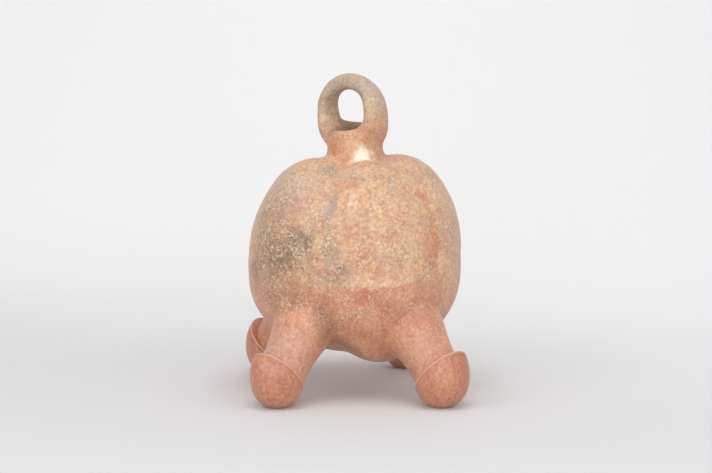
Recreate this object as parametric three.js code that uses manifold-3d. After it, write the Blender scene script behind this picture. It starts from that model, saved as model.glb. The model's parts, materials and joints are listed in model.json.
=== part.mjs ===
// A four-legged earthenware vessel with a lobed body and a loop handle over its mouth.
// Lengths are in millimetres, +Z is up, and the vessel stands on z = 0 with its axis on Z.
// The front is -Y: a finger goes through the loop along Y, and one leg stands at the front.
// The vessel is built by hand from pieces that are joined with slip: two bowls, a neck, a loop,
// and four legs, each of them a hollow shaft that is set into a domed foot.
import * as THREE from "three";
import { mergeVertices } from "three/addons/utils/BufferGeometryUtils.js";
import Module from "manifold-3d";

const radians = THREE.MathUtils.degToRad;
const smooth = THREE.MathUtils.smoothstep;

// The body, measured on the crest of a lobe
const BODY_RADIUS = 95.8;
const BODY_UPPER_HEIGHT = 98; // from the widest level up to the outline of the lobes
const BODY_LOWER_HEIGHT = 81; // from the widest level down to the same outline
const BODY_CLEARANCE = 36; // from the ground up to that outline
const UPPER_SQUARENESS = 2.65; // 2 is an ellipse, and more is boxier
const LOWER_SQUARENESS = 2.45;
const BODY_WALL = 6.5;
const SEAM_HEIGHT = 105; // where the upper bowl stands on the lower one

// The grooves between the four lobes, each at its own angle in degrees from the front
const GROOVE_DEPTH = 9;
const FAINT_GROOVE_DEPTH = 4;
const REAR_GROOVE_DEPTH = 8;
const GROOVES = [
  { at: 21, depth: GROOVE_DEPTH },
  { at: 88, depth: FAINT_GROOVE_DEPTH },
  { at: 183, depth: REAR_GROOVE_DEPTH },
  { at: 279, depth: REAR_GROOVE_DEPTH },
];
const GROOVE_HALF_WIDTH = 45; // degrees
const GROOVE_SHARPNESS = 1.6;
const GROOVE_END_RADIUS = 75; // the grooves fade out within this radius under the body
const CROWN_DEPTH = 9; // the lobes sink into a hollow round the foot of the neck
const CROWN_RADIUS = 50;

// Where the hand-built wall stands out or in, by angles in degrees
const SHOULDER_HOLLOW = 4.2;
const SHOULDER_BULGE = 3.2;
const FLANK_BULGE = 2.2;
const BELLY_SAG = 4.6;
const LEG_ROOT_SAG = 9.6;
const BULGES = [
  { at: 311.5, rise: 36, spread: 19, height: -SHOULDER_HOLLOW },
  { at: 311.5, rise: -22, spread: 20, height: FLANK_BULGE },
  { at: 131.5, rise: 60, spread: 14, height: SHOULDER_BULGE },
  { at: 87.7, rise: -57.2, spread: 24.8, height: BELLY_SAG },
  { at: 86.9, rise: -61.5, spread: 18.4, height: LEG_ROOT_SAG },
];

// The neck
const NECK_BORE_RADIUS = 18;
const NECK_WALL = 6;
const NECK_HEIGHT = 23.5; // from the outline of the lobes to the middle of the rim
const NECK_ROOT_FLARE = 5; // how much wider the neck is at its root
const NECK_RIM_FLARE = 1.8; // how much wider it is at its rim
const MOUTH_FLARE = 1.5; // how much the bore widens at the rim
const RIM_SLOPE = 0.15; // how steeply the rim rises towards the back

// The loop
const LOOP_STANDOUT = 4.6; // how far the middle of each arm stands out from the neck's wall
const LOOP_ARCH_HEIGHT = 24.3; // from the middle of the loop up to the middle of its arch
const LOOP_RISE = 15; // from the rim up to the middle of the loop
const LOOP_ROOT_DEPTH = 14; // how far the arms run down past the rim
const LOOP_TURN_IN = 2.8; // how late the arms turn in towards the neck
const LOOP_THICKNESS = 13.7;
const LOOP_ROOT_SPREAD = 2; // how much thicker the arms are at their roots
const LOOP_BREADTH = 26; // along Y
const LOOP_TOP_NARROWING = 7; // how much less broad the top of the arch is
const LOOP_ROOT_BROADENING = 3; // how much broader the arms are at the rim
const LOOP_LEAN = 6.6; // how far the top leans to the left
const LOOP_SHIFT = 1.2; // how far the arms stand to the left of the neck's middle
const LOOP_CROWN_THICKENING = 1.4; // how much thicker the top of the arch is
const LOOP_UNEVENNESS = 0.09; // by what share the right arm is stouter, and the left one slighter
const PAD_HALF_WIDTH = 7.5; // the clay pressed into an arm's inner root, along X
const PAD_HALF_BREADTH = 12; // along Y
const PAD_HALF_HEIGHT = 8;
const PAD_RISE = 2; // from the rim up to its middle
const PAD_INSET = 1; // from the bore's wall in to its middle
const PAD_BACKSET = 4; // from the middle of the arm back to its own
const RIGHT_PAD_SHARE = 0.88; // of the left one's size

// The legs
const RIGHT_LEG_OUTSET = 3.4; // how much further out the right leg stands
const RIGHT_FOOT_GROWTH = 0.9; // how much larger its foot is all round
const LEGS = {
  front: { direction: 2, outset: 0, growth: 0 },
  right: { direction: 84.8, outset: RIGHT_LEG_OUTSET, growth: RIGHT_FOOT_GROWTH },
  back: { direction: 194, outset: 0, growth: 0 },
  left: { direction: 272, outset: 0, growth: 0 },
}; // by degrees from the front
const SHAFT_STANCE = 108.6; // from the vessel's axis to the shaft's axis, at the level below
const SHAFT_LEVEL = 17.7;
const SHAFT_SPLAY = 39; // degrees from the vertical
const SHAFT_RADIUS = 21.3;
const SHAFT_WALL = 7;
const SHAFT_ROOT_FLARE = 6; // how much wider a shaft is where it meets the body
const SHAFT_FLARE_REACH = 18; // how far from the body that flare starts
const SOCKET_FLOOR = 7; // from that level along the shaft to its end in the foot's socket
const FOOT_STANCE = 104.2; // from the vessel's axis to the middle of the egg-shaped foot
const FOOT_SPLAY = 6.2; // degrees from the vertical: a foot stands steeper than its shaft
const FOOT_RADIUS = 23.9; // across the egg
const FOOT_HALF_LENGTH = 30.6; // along it
const FOOT_SQUARENESS = 2.3; // of its lower half: 2 is an ellipse, and more is blunter
const FOOT_WALL = 8;
const FOOT_RIM_SPLAY = 47; // degrees: the rim leans in a little more than the shaft
const FOOT_RIM_RISE = 1.7; // from the middle of the egg to the plane of the rim
const FOOT_WEAR = 1.3; // how much of the foot is worn flat where it stands
const VENT_RADIUS = 4; // the hole in the body's wall through which a hollow leg breathes

// The layer of slip in each joint
const JOINT_GAP = 0.3;

// How finely the round surfaces are divided
const BODY_SEGMENTS = 48;
const BODY_ROWS = 20;
const NECK_SEGMENTS = 32;
const NECK_ROWS = 6;
const RIM_STEPS = 6;
const ARCH_STEPS = 20;
const ARM_STEPS = 7;
const LOOP_SIDES = 14;
const LEG_SEGMENTS = 20;
const SHAFT_ROWS = 10;
const EGG_STEPS = 10;
const PAD_STEPS = 8;
const VENT_SEGMENTS = 10;

// Levels and radii that follow from the sizes above
const BODY_CENTRE = BODY_CLEARANCE + BODY_LOWER_HEIGHT;
const BODY_TOP = BODY_CENTRE + BODY_UPPER_HEIGHT;
const NECK_RADIUS = NECK_BORE_RADIUS + NECK_WALL;
const NECK_ROOT = BODY_TOP - CROWN_DEPTH - BODY_WALL;
const RIM_HEIGHT = BODY_TOP + NECK_HEIGHT;
const LOOP_CENTRE = RIM_HEIGHT + LOOP_RISE;
const LOOP_ARM_LENGTH = LOOP_RISE + LOOP_ROOT_DEPTH;
const SHAFT_BORE_RADIUS = SHAFT_RADIUS - SHAFT_WALL;
const SHAFT_REACH = (SHAFT_STANCE - BODY_RADIUS / 2) / Math.sin(radians(SHAFT_SPLAY));
const FAR = 4 * (BODY_RADIUS + BODY_TOP); // longer than the vessel in any direction

const CLAY = { body: 0xc4936f, neck: 0xd0a07c, loop: 0xb39a80, leg: 0xc37d62 };
const ROUGHNESS = 0.6;

const wasm = await Module();
wasm.setup();

// A closed geometry as a solid that can be cut and joined
function solidOf(geometry) {
  const bare = geometry.clone();
  bare.deleteAttribute("normal");
  bare.deleteAttribute("uv");
  const merged = mergeVertices(bare, 1e-4);
  return new wasm.Manifold(
    new wasm.Mesh({
      numProp: 3,
      vertProperties: merged.attributes.position.array,
      triVerts: new Uint32Array(merged.index.array),
    }),
  );
}

// A solid as a geometry
function geometryOf(solid) {
  const { vertProperties, triVerts, numProp } = solid.getMesh();
  const corners = [];
  for (const vertex of triVerts) {
    corners.push(...vertProperties.subarray(vertex * numProp, vertex * numProp + 3));
  }
  const geometry = new THREE.BufferGeometry();
  geometry.setAttribute("position", new THREE.Float32BufferAttribute(corners, 3));
  geometry.computeVertexNormals();
  return geometry;
}

// A named mesh with its own material
function piece(name, solid, color) {
  const material = new THREE.MeshStandardMaterial({ color, roughness: ROUGHNESS, metalness: 0 });
  const mesh = new THREE.Mesh(geometryOf(solid), material);
  mesh.name = name;
  return mesh;
}

// A profile of [radius, height] pairs turned about Z
function turned(profile, segments) {
  const points = profile.map(([radius, height]) => new THREE.Vector2(radius, height));
  return new THREE.LatheGeometry(points, segments).rotateX(Math.PI / 2);
}

// The points of an arc in a profile, from one angle to another, both included
function arc(radius, height, size, from, to, steps) {
  return Array.from({ length: steps + 1 }, (_, step) => {
    const angle = from + ((to - from) * step) / steps;
    return [radius + size * Math.cos(angle), height + size * Math.sin(angle)];
  });
}

// Everything under a level
function below(level) {
  return solidOf(new THREE.BoxGeometry(FAR, FAR, FAR).translate(0, 0, level - FAR / 2));
}

// A cylinder along Z between two heights
function cylinder(radius, bottom, top, segments) {
  return turned([[0, bottom], [radius, bottom], [radius, top], [0, top]], segments);
}

// Rings of points joined into one closed skin, with a point at each end
function skin(first, rings, last) {
  const count = rings[0].length;
  const points = [first, ...rings.flat(), last];
  const index = [];
  for (let column = 0; column < count; column += 1) {
    const next = (column + 1) % count;
    index.push(0, 1 + next, 1 + column);
    for (let row = 0; row < rings.length - 1; row += 1) {
      const lower = 1 + row * count;
      const upper = lower + count;
      index.push(lower + column, lower + next, upper + next);
      index.push(lower + column, upper + next, upper + column);
    }
    const top = 1 + (rings.length - 1) * count;
    index.push(top + column, top + next, points.length - 1);
  }
  const geometry = new THREE.BufferGeometry().setFromPoints(points);
  geometry.setIndex(index);
  return geometry;
}

// How deep the grooves are at an angle
function grooveDepth(angle) {
  let depth = 0;
  for (const groove of GROOVES) {
    const swing = angle - radians(groove.at);
    const distance = Math.acos(Math.cos(swing)) / radians(GROOVE_HALF_WIDTH);
    if (distance < 1) depth += groove.depth * Math.cos((distance * Math.PI) / 2) ** (2 * GROOVE_SHARPNESS);
  }
  return depth;
}

// How far the wall stands out by hand in a direction
function bulgeHeight(rise, angle) {
  let height = 0;
  for (const bulge of BULGES) {
    const level = Math.sin(rise) * Math.sin(radians(bulge.rise));
    const flat = Math.cos(rise) * Math.cos(radians(bulge.rise)) * Math.cos(angle - radians(bulge.at));
    const distance = Math.acos(Math.min(1, level + flat)) / radians(bulge.spread);
    height += bulge.height * Math.exp(-(distance ** 2));
  }
  return height;
}

// How far the body's surface is from its middle, in a direction that rises from the level
function bodyReach(rise, angle) {
  const isUpper = rise > 0;
  const power = isUpper ? UPPER_SQUARENESS : LOWER_SQUARENESS;
  const halfHeight = isUpper ? BODY_UPPER_HEIGHT : BODY_LOWER_HEIGHT;
  const across = Math.cos(rise) / BODY_RADIUS;
  const along = Math.abs(Math.sin(rise)) / halfHeight;
  const reach = (across ** power + along ** power) ** (-1 / power) + bulgeHeight(rise, angle);
  const radius = reach * Math.cos(rise);
  if (!isUpper) return reach - grooveDepth(angle) * smooth(radius, 0, GROOVE_END_RADIUS);
  const crown = 1 - smooth(radius, 0, CROWN_RADIUS);
  return reach - grooveDepth(angle) * (1 - crown) - CROWN_DEPTH * crown;
}

// A point of the body's surface, moved by inset towards the middle of the body
function bodyPoint(latitude, angle, inset) {
  const isUpper = latitude > 0;
  const rounding = 2 / (isUpper ? UPPER_SQUARENESS : LOWER_SQUARENESS);
  const halfHeight = isUpper ? BODY_UPPER_HEIGHT : -BODY_LOWER_HEIGHT;
  const radius = BODY_RADIUS * Math.max(Math.cos(latitude), 0) ** rounding;
  const rise = Math.atan2(halfHeight * Math.abs(Math.sin(latitude)) ** rounding, radius);
  const reach = bodyReach(rise, angle) - inset;
  const out = reach * Math.cos(rise);
  const height = BODY_CENTRE + reach * Math.sin(rise);
  return new THREE.Vector3(Math.sin(angle) * out, -Math.cos(angle) * out, height);
}

// The filled body, with its surface moved inwards by inset
function bodySolid(inset) {
  const latitudeOf = (row) => Math.PI * (row / BODY_ROWS - 1 / 2);
  const rings = [];
  for (let row = 1; row < BODY_ROWS; row += 1) {
    const ring = [];
    for (let column = 0; column < BODY_SEGMENTS; column += 1) {
      ring.push(bodyPoint(latitudeOf(row), (2 * Math.PI * column) / BODY_SEGMENTS, inset));
    }
    rings.push(ring);
  }
  const [bottom, top] = [0, BODY_ROWS].map((row) => bodyPoint(latitudeOf(row), 0, inset));
  return solidOf(skin(bottom, rings, top));
}

// How far a point lies outside the body, along the line to the body's middle
function outsideBody(point) {
  const radius = Math.hypot(point.x, point.y);
  const height = point.z - BODY_CENTRE;
  const surface = bodyReach(Math.atan2(height, radius), Math.atan2(point.x, -point.y));
  return Math.hypot(radius, height) - surface;
}

const bodyEnvelope = bodySolid(-JOINT_GAP);

// The neck's outer radius at a height
function neckRadiusAt(height) {
  const rise = (height - NECK_ROOT) / (RIM_HEIGHT - NECK_ROOT);
  return NECK_RADIUS + NECK_ROOT_FLARE * (1 - rise) ** 3 + NECK_RIM_FLARE * rise ** 3;
}

// Tilts the rim: what is level with it rises towards the back, and the root stays
function tiltRim(geometry) {
  const position = geometry.attributes.position;
  for (let i = 0; i < position.count; i += 1) {
    const share = smooth(position.getZ(i), NECK_ROOT, RIM_HEIGHT);
    position.setZ(i, position.getZ(i) + RIM_SLOPE * position.getY(i) * share);
  }
  return geometry;
}

// The neck's outer profile, moved outwards by gap, from its root over part of its round lip
function neckOutside(gap, lipTurn, lipSteps) {
  const mouthRadius = NECK_BORE_RADIUS + MOUTH_FLARE;
  const lip = (NECK_RADIUS + NECK_RIM_FLARE - mouthRadius) / 2;
  const side = Array.from({ length: NECK_ROWS }, (_, row) => {
    const height = NECK_ROOT + ((RIM_HEIGHT - lip - NECK_ROOT) * row) / NECK_ROWS;
    return [neckRadiusAt(height) + gap, height];
  });
  return [...side, ...arc(mouthRadius + lip, RIM_HEIGHT - lip, lip + gap, 0, lipTurn, lipSteps)];
}

// The neck: a flared collar with a round lip, cut where it stands on the body
function neckCollar() {
  const start = [NECK_BORE_RADIUS, NECK_ROOT];
  const outside = neckOutside(0, Math.PI, RIM_STEPS);
  const profile = [start, ...outside, [NECK_BORE_RADIUS, BODY_TOP], start];
  return solidOf(tiltRim(turned(profile, NECK_SEGMENTS))).subtract(bodyEnvelope);
}

// All the space that the neck takes up, with its bore filled, and a joint's gap round it
function neckEnvelope() {
  const outside = neckOutside(JOINT_GAP, Math.PI / 2, RIM_STEPS / 2);
  const profile = [[0, NECK_ROOT], ...outside, [0, RIM_HEIGHT + JOINT_GAP]];
  return solidOf(tiltRim(turned(profile, NECK_SEGMENTS)));
}

// The middle line of the loop, from the root of the left arm over the arch to the other root
function loopPath() {
  const halfWidth = NECK_RADIUS + LOOP_STANDOUT;
  const points = [];
  for (let step = ARM_STEPS; step > 0; step -= 1) {
    const share = step / ARM_STEPS;
    const turnIn = (halfWidth - NECK_BORE_RADIUS) * share ** LOOP_TURN_IN;
    points.push({ x: halfWidth - turnIn, z: -LOOP_ARM_LENGTH * share });
  }
  const left = points.map(({ x, z }) => ({ x: -x, z }));
  const arch = Array.from({ length: ARCH_STEPS + 1 }, (_, step) => {
    const angle = Math.PI * (1 - step / ARCH_STEPS);
    return { x: halfWidth * Math.cos(angle), z: LOOP_ARCH_HEIGHT * Math.sin(angle) };
  });
  const line = [...left, ...arch, ...points.reverse()];
  const height = LOOP_ARM_LENGTH + LOOP_ARCH_HEIGHT;
  return line.map(({ x, z }) => {
    const lean = (LOOP_LEAN * (z + LOOP_ARM_LENGTH)) / height;
    const shift = LOOP_SHIFT * (1 - smooth(z, 0, LOOP_ARCH_HEIGHT));
    return new THREE.Vector3(x - lean - shift, 0, LOOP_CENTRE + z);
  });
}

// The clay pressed into the inner root of the arm on one side
function rootPad(side, share) {
  const ball = turned(arc(0, 0, share, -Math.PI / 2, Math.PI / 2, PAD_STEPS), LOOP_SIDES);
  ball.scale(PAD_HALF_WIDTH, PAD_HALF_BREADTH, PAD_HALF_HEIGHT);
  const across = side * (NECK_BORE_RADIUS - PAD_INSET);
  return solidOf(ball.translate(across, PAD_BACKSET, RIM_HEIGHT + PAD_RISE));
}

// The loop: an oval section carried along its middle line, cut where it sits over the neck
function loopHandle() {
  const path = loopPath();
  const rings = path.map((point, i) => {
    const before = path[Math.max(i - 1, 0)];
    const after = path[Math.min(i + 1, path.length - 1)];
    const along = after.clone().sub(before).normalize();
    const outwards = new THREE.Vector3(-along.z, 0, along.x);
    const drop = smooth(LOOP_CENTRE - point.z, 0, LOOP_ARM_LENGTH);
    const top = smooth(point.z - LOOP_CENTRE, 0, LOOP_ARCH_HEIGHT);
    const thickness = LOOP_THICKNESS + LOOP_ROOT_SPREAD * drop + LOOP_CROWN_THICKENING * top;
    const broadening = LOOP_ROOT_BROADENING * smooth(LOOP_CENTRE - point.z, 0, LOOP_RISE);
    const breadth = LOOP_BREADTH - LOOP_TOP_NARROWING * top + broadening;
    const side = THREE.MathUtils.clamp(point.x / NECK_RADIUS, -1, 1);
    const stoutness = 1 + LOOP_UNEVENNESS * side * (1 - drop);
    const [half, halfBreadth] = [(thickness * stoutness) / 2, (breadth * stoutness) / 2];
    return Array.from({ length: LOOP_SIDES }, (_, side) => {
      const angle = (-2 * Math.PI * side) / LOOP_SIDES;
      const across = new THREE.Vector3(0, halfBreadth * Math.sin(angle), 0);
      return point.clone().addScaledVector(outwards, half * Math.cos(angle)).add(across);
    });
  });
  return solidOf(skin(path[0], rings, path[path.length - 1]))
    .add(rootPad(-1, 1))
    .add(rootPad(1, RIGHT_PAD_SHARE))
    .subtract(neckEnvelope());
}

// Leans a geometry made round Z in towards the vessel, and moves it out and up to its leg
function placeAt(geometry, leg, stance, level, splay) {
  geometry.rotateX(-radians(splay)).translate(0, -stance - leg.outset, level);
  return geometry.rotateZ(radians(leg.direction));
}

// Puts a geometry made round Z on the axis of a shaft
function placeShaft(geometry, leg) {
  return placeAt(geometry, leg, SHAFT_STANCE, SHAFT_LEVEL, SHAFT_SPLAY);
}

// The level of the middle of the egg, so that its worn base is on the ground
function footLevel(leg) {
  const power = FOOT_SQUARENESS / (FOOT_SQUARENESS - 1);
  const length = (FOOT_HALF_LENGTH + leg.growth) * Math.cos(radians(FOOT_SPLAY));
  const width = (FOOT_RADIUS + leg.growth) * Math.sin(radians(FOOT_SPLAY));
  return (length ** power + width ** power) ** (1 / power) - FOOT_WEAR;
}

// The shaft, which widens where it comes near the body
function legShaft(leg) {
  const rows = Array.from({ length: SHAFT_ROWS + 1 }, (_, row) => {
    const start = SOCKET_FLOOR + JOINT_GAP;
    return [SHAFT_RADIUS, start + ((SHAFT_REACH - start) * row) / SHAFT_ROWS];
  });
  const shaft = turned([[0, rows[0][1]], ...rows, [0, SHAFT_REACH]], LEG_SEGMENTS);
  const placed = placeShaft(shaft.clone(), leg).attributes.position;
  const position = shaft.attributes.position;
  for (let i = 0; i < position.count; i += 1) {
    const outside = outsideBody(new THREE.Vector3().fromBufferAttribute(placed, i));
    const nearness = 1 - smooth(outside, 0, SHAFT_FLARE_REACH);
    const grown = 1 + (SHAFT_ROOT_FLARE / SHAFT_RADIUS) * nearness ** 2;
    position.setX(i, position.getX(i) * grown);
    position.setY(i, position.getY(i) * grown);
  }
  const bore = cylinder(SHAFT_BORE_RADIUS, 0, 2 * SHAFT_REACH, LEG_SEGMENTS);
  return solidOf(placeShaft(shaft, leg))
    .subtract(solidOf(placeShaft(bore, leg)))
    .subtract(bodyEnvelope);
}

// An egg shape in the place of a foot, with its surface moved inwards by inset
function footEgg(leg, inset) {
  const blunt = 2 / FOOT_SQUARENESS;
  const profile = arc(0, 0, 1, -Math.PI / 2, Math.PI / 2, EGG_STEPS).map(([radius, height]) =>
    height < 0 ? [radius ** blunt, -((-height) ** blunt)] : [radius, height],
  );
  const egg = turned(profile, LEG_SEGMENTS);
  const radius = FOOT_RADIUS + leg.growth - inset;
  egg.scale(radius, radius, FOOT_HALF_LENGTH + leg.growth - inset);
  return solidOf(placeAt(egg, leg, FOOT_STANCE, footLevel(leg), FOOT_SPLAY));
}

// The foot: a hollow egg, cut off at its rim, with a socket for the shaft, and worn flat below
function footCap(leg) {
  const socket = cylinder(SHAFT_RADIUS + JOINT_GAP, SOCKET_FLOOR, SHAFT_REACH, LEG_SEGMENTS);
  const aboveRim = new THREE.BoxGeometry(FAR, FAR, FAR).translate(0, 0, FOOT_RIM_RISE + FAR / 2);
  return footEgg(leg, 0)
    .subtract(footEgg(leg, FOOT_WALL))
    .subtract(solidOf(placeShaft(socket, leg)))
    .subtract(solidOf(placeAt(aboveRim, leg, FOOT_STANCE, footLevel(leg), FOOT_RIM_SPLAY)))
    .subtract(below(0));
}

// The hole through the body's wall at the head of a leg
function vent(leg) {
  const hole = cylinder(VENT_RADIUS, SOCKET_FLOOR, SHAFT_REACH, VENT_SEGMENTS);
  return solidOf(placeShaft(hole, leg));
}

const vessel = new THREE.Group();

let shell = bodySolid(0).subtract(bodySolid(BODY_WALL));
for (const leg of Object.values(LEGS)) shell = shell.subtract(vent(leg));
shell = shell.subtract(solidOf(cylinder(NECK_BORE_RADIUS, BODY_CENTRE, RIM_HEIGHT, NECK_SEGMENTS)));

vessel.add(piece("body_shell_lower", shell.intersect(below(SEAM_HEIGHT - JOINT_GAP / 2)), CLAY.body));
vessel.add(piece("body_shell_upper", shell.subtract(below(SEAM_HEIGHT + JOINT_GAP / 2)), CLAY.body));
vessel.add(piece("neck_collar", neckCollar(), CLAY.neck));
vessel.add(piece("loop_handle", loopHandle(), CLAY.loop));
for (const [place, leg] of Object.entries(LEGS)) {
  vessel.add(piece(`leg_shaft_${place}`, legShaft(leg), CLAY.leg));
  vessel.add(piece(`foot_cap_${place}`, footCap(leg), CLAY.leg));
}

export default vessel;
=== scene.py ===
"""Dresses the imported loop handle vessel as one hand-built skin of unglazed earthenware.

The outside is shaped as the potter shapes it: a lobed body, four shafts, a neck and a loop are
joined while the clay is soft, and their joins are smoothed. The joined skin is then cut where
the frame's nodes meet, so that each visible piece stands for its own node, and each piece gets
the thickness of its wall. Lengths are in millimetres until they reach Blender.
"""

import json
import logging
import math
from collections.abc import Callable, Iterator, Sequence
from contextlib import contextmanager
from dataclasses import dataclass, field, replace
from enum import Enum
from functools import partial

import bmesh
import bpy
import numpy as np
from mathutils import Matrix, Vector

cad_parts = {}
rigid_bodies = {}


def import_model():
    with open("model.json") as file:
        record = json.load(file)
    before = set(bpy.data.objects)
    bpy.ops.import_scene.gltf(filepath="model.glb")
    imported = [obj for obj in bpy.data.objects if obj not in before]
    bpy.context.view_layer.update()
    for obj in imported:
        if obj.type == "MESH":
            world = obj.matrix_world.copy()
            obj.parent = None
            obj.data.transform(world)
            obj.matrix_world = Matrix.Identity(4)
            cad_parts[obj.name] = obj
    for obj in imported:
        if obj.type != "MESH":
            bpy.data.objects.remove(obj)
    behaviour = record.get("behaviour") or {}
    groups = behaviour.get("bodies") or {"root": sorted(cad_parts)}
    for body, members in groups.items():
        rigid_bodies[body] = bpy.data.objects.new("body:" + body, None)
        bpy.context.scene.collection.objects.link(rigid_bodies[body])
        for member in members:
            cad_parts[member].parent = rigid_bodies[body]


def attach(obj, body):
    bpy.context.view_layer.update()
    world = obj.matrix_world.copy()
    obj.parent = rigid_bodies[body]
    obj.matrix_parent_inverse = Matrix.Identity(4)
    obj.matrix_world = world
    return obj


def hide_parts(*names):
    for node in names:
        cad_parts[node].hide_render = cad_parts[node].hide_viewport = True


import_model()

logging.basicConfig(level=logging.INFO, format="%(asctime)s %(message)s")
log = logging.getLogger("vessel")

MM = 0.001
BODY = "root"
# With no window, transform.rotate turns the other way.
BACKGROUND_TURN = -1.0
# Edges that are sharper than this stay crisp.
CRISP = math.radians(50)
# The superellipse power of a round ring, and above it a ring is squarer
ROUND = 2.0
UP = Vector((0.0, 0.0, 1.0))
# The share of a pull's reach that moves as one
HELD = 0.4
# How near to a cut its own edges and faces lie, in millimetres
AT_CUT = 1.0
AT_BASE = 0.05
LIP_LEVEL = "lip_level"

Piece = bpy.types.Object
Socket = bpy.types.NodeSocket
Adder = Callable[..., Socket]
Noises = dict[str, Socket]
# Says of rows of points, in millimetres, which of them are meant
Test = Callable[[np.ndarray], np.ndarray]


class Part(Enum):
    """What is picked in edit mode."""

    VERTS = "VERT"
    EDGES = "EDGE"
    FACES = "FACE"


class Slot(Enum):
    """The material slots of the frame's record."""

    BODY = "body_slip"
    NECK = "neck_clay"
    LOOP = "loop_clay"
    LEG = "leg_slip"
    FOOT = "foot_slip"


def smoothstep(value: float, low: float, high: float) -> float:
    """Returns 0 below low, 1 above high, and a smooth rise between them."""
    share = min(1.0, max(0.0, (value - low) / (high - low)))
    return share * share * (3.0 - 2.0 * share)


def only(piece: Piece) -> None:
    """Makes a piece the only selected one, and the active one, in object mode."""
    if bpy.context.mode != "OBJECT":
        bpy.ops.object.mode_set(mode="OBJECT")
    bpy.ops.object.select_all(action="DESELECT")
    piece.select_set(True)
    bpy.context.view_layer.objects.active = piece


@contextmanager
def editing(piece: Piece) -> Iterator[None]:
    """Keeps a piece in edit mode for the length of a with block."""
    only(piece)
    bpy.ops.object.mode_set(mode="EDIT")
    yield
    bpy.ops.object.mode_set(mode="OBJECT")


def pick(piece: Piece, part: Part, test: Test, border: bool = False) -> None:
    """Selects only what passes a test, in edit mode.

    Args:
        piece: The piece that is in edit mode.
        part: Whether vertices, edges or faces are picked.
        test: Says which points are picked. An edge is picked when both its ends are, and a
            face when its middle is.
        border: Whether only edges on an open border may be picked.
    """
    bpy.ops.object.mode_set(mode="OBJECT")
    mesh = piece.data
    points = read(mesh.vertices, "co", 3) / MM
    picked_verts = np.zeros(len(mesh.vertices), bool)
    picked_edges = np.zeros(len(mesh.edges), bool)
    picked_faces = np.zeros(len(mesh.polygons), bool)
    ends = read(mesh.edges, "vertices", 2, np.int32)
    if part is Part.VERTS:
        picked_verts = test(points)
        picked_edges = picked_verts[ends].all(axis=1)
    elif part is Part.EDGES:
        picked_edges = test(points)[ends].all(axis=1)
        if border:
            loops = read(mesh.loops, "edge_index", 1, np.int32).ravel()
            picked_edges &= np.bincount(loops, minlength=len(mesh.edges)) < 2
        picked_verts[ends[picked_edges].ravel()] = True
    else:
        picked_faces = test(read(mesh.polygons, "center", 3) / MM)
        totals = read(mesh.polygons, "loop_total", 1, np.int32).ravel()
        corners = np.repeat(picked_faces, totals)
        picked_verts[read(mesh.loops, "vertex_index", 1, np.int32).ravel()[corners]] = True
        picked_edges[read(mesh.loops, "edge_index", 1, np.int32).ravel()[corners]] = True
    mesh.vertices.foreach_set("select", picked_verts)
    mesh.edges.foreach_set("select", picked_edges)
    mesh.polygons.foreach_set("select", picked_faces)
    bpy.ops.object.mode_set(mode="EDIT")
    bpy.ops.mesh.select_mode(type=part.value)


def read(
    items: bpy.types.bpy_prop_collection, name: str, width: int, kind: type = np.float32
) -> np.ndarray:
    """Reads one value of every vertex, edge, face or corner of a mesh.

    Args:
        items: The vertices, edges, faces or corners.
        name: The value's name.
        width: How many numbers the value has.
        kind: The kind of its numbers.

    Returns:
        One row for each item.
    """
    values = np.empty(len(items) * width, kind)
    items.foreach_get(name, values)
    return values.reshape(-1, width)


@dataclass(frozen=True)
class Zone:
    """The space between two levels and two distances from the vessel's axis, in millimetres."""

    low: float = -math.inf
    high: float = math.inf
    inner: float = -1.0
    outer: float = math.inf

    def holds(self, points: np.ndarray) -> np.ndarray:
        """Says which points the zone holds."""
        level, away = points[:, 2], np.hypot(points[:, 0], points[:, 1])
        across = (self.inner < away) & (away < self.outer)
        return (self.low < level) & (level < self.high) & across


EVERYWHERE = Zone()


def within(centre: Sequence[float], reach: float) -> Test:
    """Returns the test for being less than a reach away from a point."""
    return lambda points: np.linalg.norm(points - np.array(centre), axis=1) < reach


def smooth(piece: Piece, near: Test, repeat: int) -> None:
    """Smooths a piece, in edit mode, so many times where a test of its points says."""
    pick(piece, Part.VERTS, near)
    bpy.ops.mesh.vertices_smooth(factor=0.5, repeat=repeat)


def begin(name: str, primitive: Callable[..., set[str]], **settings: object) -> Piece:
    """Adds a primitive with its settings, names it and returns it."""
    bpy.ops.object.select_all(action="DESELECT")
    primitive(**settings)
    piece = bpy.context.object
    piece.name = name
    return piece


def extrude(move: Vector) -> None:
    """Extrudes what is selected in edit mode, and moves the new part."""
    bpy.ops.mesh.extrude_region()
    bpy.ops.transform.translate(value=move)


def face_outwards() -> None:
    """Turns all faces of the piece in edit mode outwards."""
    bpy.ops.mesh.select_all(action="SELECT")
    bpy.ops.mesh.normals_make_consistent(inside=False)


def settle(piece: Piece, place: Matrix | None = None) -> None:
    """Puts a piece's place, or a new one, into its mesh, so that its object is at the origin."""
    if place is not None:
        piece.matrix_world = place
    only(piece)
    bpy.ops.object.transform_apply(location=True, rotation=True, scale=True)


def linear(colour: str) -> tuple[float, float, float, float]:
    """Turns an sRGB hex colour into linear light, with full opacity."""
    parts = [int(colour[start : start + 2], 16) / 255.0 for start in (1, 3, 5)]
    light = [c / 12.92 if c <= 0.04045 else ((c + 0.055) / 1.055) ** 2.4 for c in parts]
    return light[0], light[1], light[2], 1.0


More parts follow.
